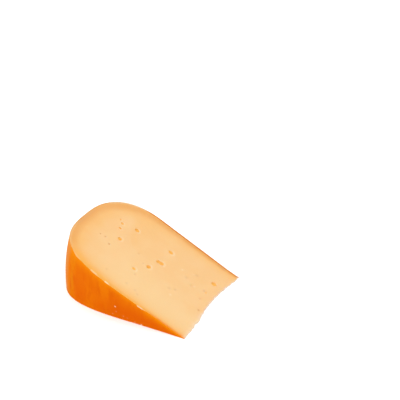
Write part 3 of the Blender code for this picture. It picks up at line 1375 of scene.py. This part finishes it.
@dataclass
class Coat:
    """The thin orange coat over the rim and both flat sides."""

    form: WedgeForm
    spacing: float = 0.65 * MM
    thickness: float = 0.50 * MM
    far_thickness: float = 0.95 * MM
    outer_rows: int = 84
    inner_rows: int = 8
    bevel: float = 0.14 * MM
    ragged_height: float = 0.12 * MM
    ragged_size: float = 3.0 * MM
    dip_along: float = 103.5 * MM
    dip_reach: float = 4.0 * MM
    dip_depth: float = 1.5 * MM
    dent_height: float = 0.20 * MM
    dent_size: float = 26 * MM
    pebble_height: float = 0.07 * MM
    pebble_size: float = 3.2 * MM
    strip_height: float = 3.3 * MM
    inner_shift: float = 0.4
    scuffs: tuple[Scuff, ...] = (
        Scuff((2.6, -51.5, 11.5), 0.9, 1.0),
        Scuff((26.8, -50.5, 0.6), 1.2, 0.9),
        Scuff((3.3, -51.5, 6.6), 0.8, 0.25),
        Scuff((-0.3, -51.6, 3.3), 0.8, 0.22),
        Scuff((10.2, -51.2, 4.0), 0.8, 0.25),
        Scuff((13.8, -51.1, 3.3), 0.7, 0.22),
        Scuff((20.9, -50.8, 1.3), 0.9, 0.30),
    )

    def edge_drop(self, outline: Array, shift: float) -> Array:
        """How far the coat's edge lies under the upper cut, along the outline.

        Args:
            outline: Rows of a radius and a place across.
            shift: Moves the noise, so that two edges differ.

        Returns:
            The drop at each outline point.
        """
        noise = Unevenness(Seed.COAT_EDGE)
        spots = np.column_stack([outline, np.full(len(outline), shift)])
        drop = self.ragged_height * np.abs(noise.layered(spots, self.ragged_size))
        edge = self.form.wall(outline, np.array([1.0]))[0]
        is_near = outline[:, 1] < 0.0
        dip = np.exp(-(((edge[:, 0] - self.dip_along) / self.dip_reach) ** 2))
        drop += self.dip_depth * dip * is_near
        rough = 1.0 + 0.35 * noise.at(spots, 1.3 * MM)
        for chip in CHIPS:
            drop += chip.bite * MM * chip.share(edge[:, 0]) * rough * is_near
        return np.minimum(drop, 0.5 * edge[:, 2])

    def shell(self) -> tuple[Object, Array]:
        """Build the closed shell: outer side, bevelled edge, inner side, lower edge.

        Returns:
            The shell, and for each of its points how far it belongs to the cut edge.
        """
        outer_line = self.form.skin_outline(self.spacing, 0.0)
        bevel_line = self.form.skin_outline(self.spacing, self.bevel)
        far = step_mm(outer_line[:, 1], 30, 44)[:, None]
        depth = self.thickness + (self.far_thickness - self.thickness) * far
        inner_line = outer_line - depth * outward_of(outer_line)
        up = np.linspace(0.0, 1.0, self.outer_rows)
        down = np.linspace(1.0, 0.0, self.inner_rows)
        top = np.array([1.0])
        edge = self.edge_drop(outer_line, 0.0)
        room = 0.5 * self.form.wall(outer_line, top)[0, :, 2]
        drop = np.minimum(edge + 0.7 * self.bevel, room)
        outer = self.form.wall(outer_line, up, drop)
        sink = self.relief(self.form.to_row(outer)).reshape(outer.shape[:2])
        sink[0] += self.bevel
        lines = outer_line[None] - sink[..., None] * outward_of(outer_line)[None]
        for row, share in enumerate(up):
            outer[row] = self.form.wall(lines[row], np.array([share]), drop)[0]
        bevel = self.form.wall(bevel_line, top, edge)
        inner = self.form.wall(inner_line, down, self.edge_drop(inner_line, self.inner_shift))
        section = np.concatenate([outer, bevel, inner], axis=0)
        draft = MeshDraft()
        index = draft.add_points(self.form.to_row(section)).reshape(section.shape[:2])
        draft.add_grid(index.T)
        draft.faces.append(index[:, 0].tolist())
        draft.faces.append(index[::-1, -1].tolist())
        cut = [0.0] * (self.outer_rows - 1) + [0.3] + [1.0] * (1 + self.inner_rows)
        return draft.build("coat"), np.repeat(cut, len(outer_line))

    def relief(self, points: Array) -> Array:
        """Find how far the outer side lies inside the true skin.

        Args:
            points: Points of the row frame.

        Returns:
            The distance at each point.
        """
        dents = Unevenness(Seed.COAT_DENTS).layered(points, self.dent_size, 2)
        pebbles = Unevenness(Seed.COAT_PEBBLES).layered(points, self.pebble_size)
        sink = 0.5 * self.dent_height * (1.0 + dents)
        return sink + 0.5 * self.pebble_height * (1.0 + pebbles)

    def keep_masks(self, survey: Survey, cut: Array) -> None:
        """Keep all the values that the finish reads.

        Args:
            survey: Where the coat's points lie.
            cut: How far each point belongs to the cut edge.
        """
        along, is_near = survey.along, survey.is_near
        frontward = step_mm(along, 44, 26) * is_near
        survey.keep(Mask.CUT, cut * (1.0 - frontward))
        survey.keep(Mask.RIM, smooth_step(survey.rimward, 0.3, 0.8))
        turned = survey.rimward + 0.03 * survey.noise(Seed.RIM_CORNERS, 5)
        gold = smooth_step(turned, 0.27, 0.37) * (1.0 - 0.6 * smooth_step(turned, 0.85, 1.0))
        survey.keep(Mask.GOLD, gold)
        # Painted sheen: a paler band where the coat turns round the rim corners, weaker on the
        # far corner.
        dry = smooth_step(turned, 0.48, 0.70) * smooth_step(turned, 1.0, 0.76)
        survey.keep(Mask.PAINTED_SHEEN, dry * np.where(is_near, 1.0, 0.6))
        survey.keep(Mask.FAR, step_mm(survey.nearest, -5, 25))
        # Painted light: lighter near the upper edge, where light from above falls, and a painted
        # glow of light bounced from the floor along the near side's bottom edge.
        wide = 1.0 - 0.35 * step_mm(along, 85, 60) + 1.1 * step_mm(along, 92, 112)
        strip = np.exp(-survey.under / (self.strip_height * wide))
        floor_bounce_glow = 0.32 * np.exp(-survey.height / (1.6 * MM)) * is_near
        survey.keep(Mask.STRIP, np.maximum(strip, floor_bounce_glow))
        # Painted shade on the near side.
        survey.keep(Mask.SHADE, self.shade(survey) * is_near)
        arc = 0.9 * cut * survey.far_arc()
        survey.keep(Mask.PALE, np.maximum(self.worn(survey, cut), arc))

    def shade(self, survey: Survey) -> Array:
        """Find the painted shade on the near side: low at the front, and by the rim corner.

        Args:
            survey: Where the coat's points lie.

        Returns:
            How dark each point is, from 0 to 1.
        """
        high = 0.75 + 0.25 * step_mm(survey.along, 78, 45)
        low = smooth_step(survey.height / (survey.top * high), 1.0, 0.3)
        low *= step_mm(survey.along, 105, 50)
        corner = smooth_step(survey.rimward, 0.10, 0.18) * smooth_step(survey.rimward, 0.38, 0.28)
        corner *= step_mm(survey.under, 5, 11)
        return np.maximum(0.85 * low, 0.45 * corner)

    def worn(self, survey: Survey, cut: Array) -> Array:
        """Find where the coat is scuffed or chipped.

        Args:
            survey: Where the coat's points lie.
            cut: How far each point belongs to the cut edge.

        Returns:
            How pale each point is, from 0 to 1.
        """
        noise = 1.0 + 0.4 * survey.noise(Seed.SCUFF_EDGES, 1.1)
        worn = np.zeros(len(cut))
        for scuff in self.scuffs:
            apart = np.linalg.norm(survey.points - np.array(scuff.point) * MM, axis=1)
            spot = step_mm(apart * noise, scuff.radius, 0.3 * scuff.radius)
            worn = np.maximum(worn, scuff.strength * spot)
        for chip in CHIPS:
            worn = np.maximum(worn, 0.75 * cut * chip.share(survey.along) * survey.is_near)
        return worn

    def build(self) -> Object:
        """Build and dress the coat.

        Returns:
            The piece, linked to the scene.
        """
        coat, cut = self.shell()
        self.keep_masks(self.form.survey(coat.data), cut)
        dress(coat, CoatFinish().material())
        return coat


@dataclass(frozen=True)
class Lamp:
    """One soft square light that faces a point near the wedge."""

    name: str
    azimuth: float
    elevation: float
    distance: float
    size: float
    power: float

    def build(self, target: Vector) -> None:
        """Make the light.

        Args:
            target: The point that the light faces.
        """
        data = bpy.data.lights.new(self.name, "AREA")
        data.shape = "SQUARE"
        data.size = self.size
        data.energy = self.power
        lamp = add_object(self.name, data)
        turn, rise = math.radians(self.azimuth), math.radians(self.elevation)
        flat = math.cos(rise)
        away = Vector((flat * math.cos(turn), flat * math.sin(turn), math.sin(rise)))
        lamp.location = target + self.distance * away
        lamp.rotation_euler = away.to_track_quat("Z", "Y").to_euler()


@dataclass
class Studio:
    """The pale floor, the surrounding light and the lamps."""

    floor_size: float = 10.0
    sky_strength: float = 1.32
    sky_colour: Colour = PLAIN
    target: Vector = field(default_factory=lambda: Vector((0.0, 0.0, 0.02)))
    lamps: tuple[Lamp, ...] = (
        Lamp("key", 195.0, 60.0, 1.6, 1.0, 4.2),
        Lamp("front_fill", 275.0, 35.0, 1.8, 1.4, 4.9),
    )

    def build_floor(self) -> Object:
        """Make the floor.

        Returns:
            The floor.
        """
        bpy.ops.mesh.primitive_plane_add(size=self.floor_size)
        floor = bpy.context.object
        floor.name = "floor"
        floor.data.materials.append(FloorFinish().material())
        return floor

    def build(self) -> Object:
        """Make the world, the lights and the floor.

        Returns:
            The floor.
        """
        world = bpy.data.worlds.new("studio")
        world.use_nodes = True
        sky = world.node_tree.nodes["Background"]
        sky.inputs["Color"].default_value = (*self.sky_colour, 1.0)
        sky.inputs["Strength"].default_value = self.sky_strength
        bpy.context.scene.world = world
        for lamp in self.lamps:
            lamp.build(self.target)
        bpy.context.scene.view_settings.view_transform = "Standard"
        return self.build_floor()


@dataclass(frozen=True)
class PhotoCamera:
    """The camera, from the view that was fitted to the wedge's outline."""

    form: WedgeForm
    along: float = -0.2908
    across: float = -0.5605
    height: float = 0.4664
    azimuth: float = 28.388
    elevation: float = 29.808
    focal_pixels: float = 915.2
    picture_pixels: float = 400.0
    sensor_mm: float = 36.0

    def build(self) -> None:
        """Make the camera and use it."""
        data = bpy.data.cameras.new("camera")
        data.sensor_width = self.sensor_mm
        data.lens = self.focal_pixels * self.sensor_mm / self.picture_pixels
        data.clip_end = 50.0
        camera = add_object("camera", data)
        place = np.array([[self.along, self.across, self.height]])
        camera.location = Vector(self.form.to_row(place)[0])
        tilt = math.radians(90.0 - self.elevation)
        camera.rotation_euler = (tilt, 0.0, math.radians(self.azimuth))
        bpy.context.scene.camera = camera


def add_piece(piece: Object) -> None:
    """Let a piece stand for the solid, ride on its body and log how many triangles it has.

    Args:
        piece: The piece.
    """
    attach(piece, BODY)
    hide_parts(NODE)
    piece.data.calc_loop_triangles()
    LOG.info("%s: %d triangles", piece.name, len(piece.data.loop_triangles))


def main() -> None:
    """Build the wedge's pieces, the studio and the camera, in that order."""
    logging.basicConfig(level=logging.INFO, format="%(message)s")
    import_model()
    form = WedgeForm()
    add_piece(Paste(form).build())
    add_piece(Coat(form).build())
    Studio().build()
    PhotoCamera(form).build()


if __name__ == "__main__":
    main()
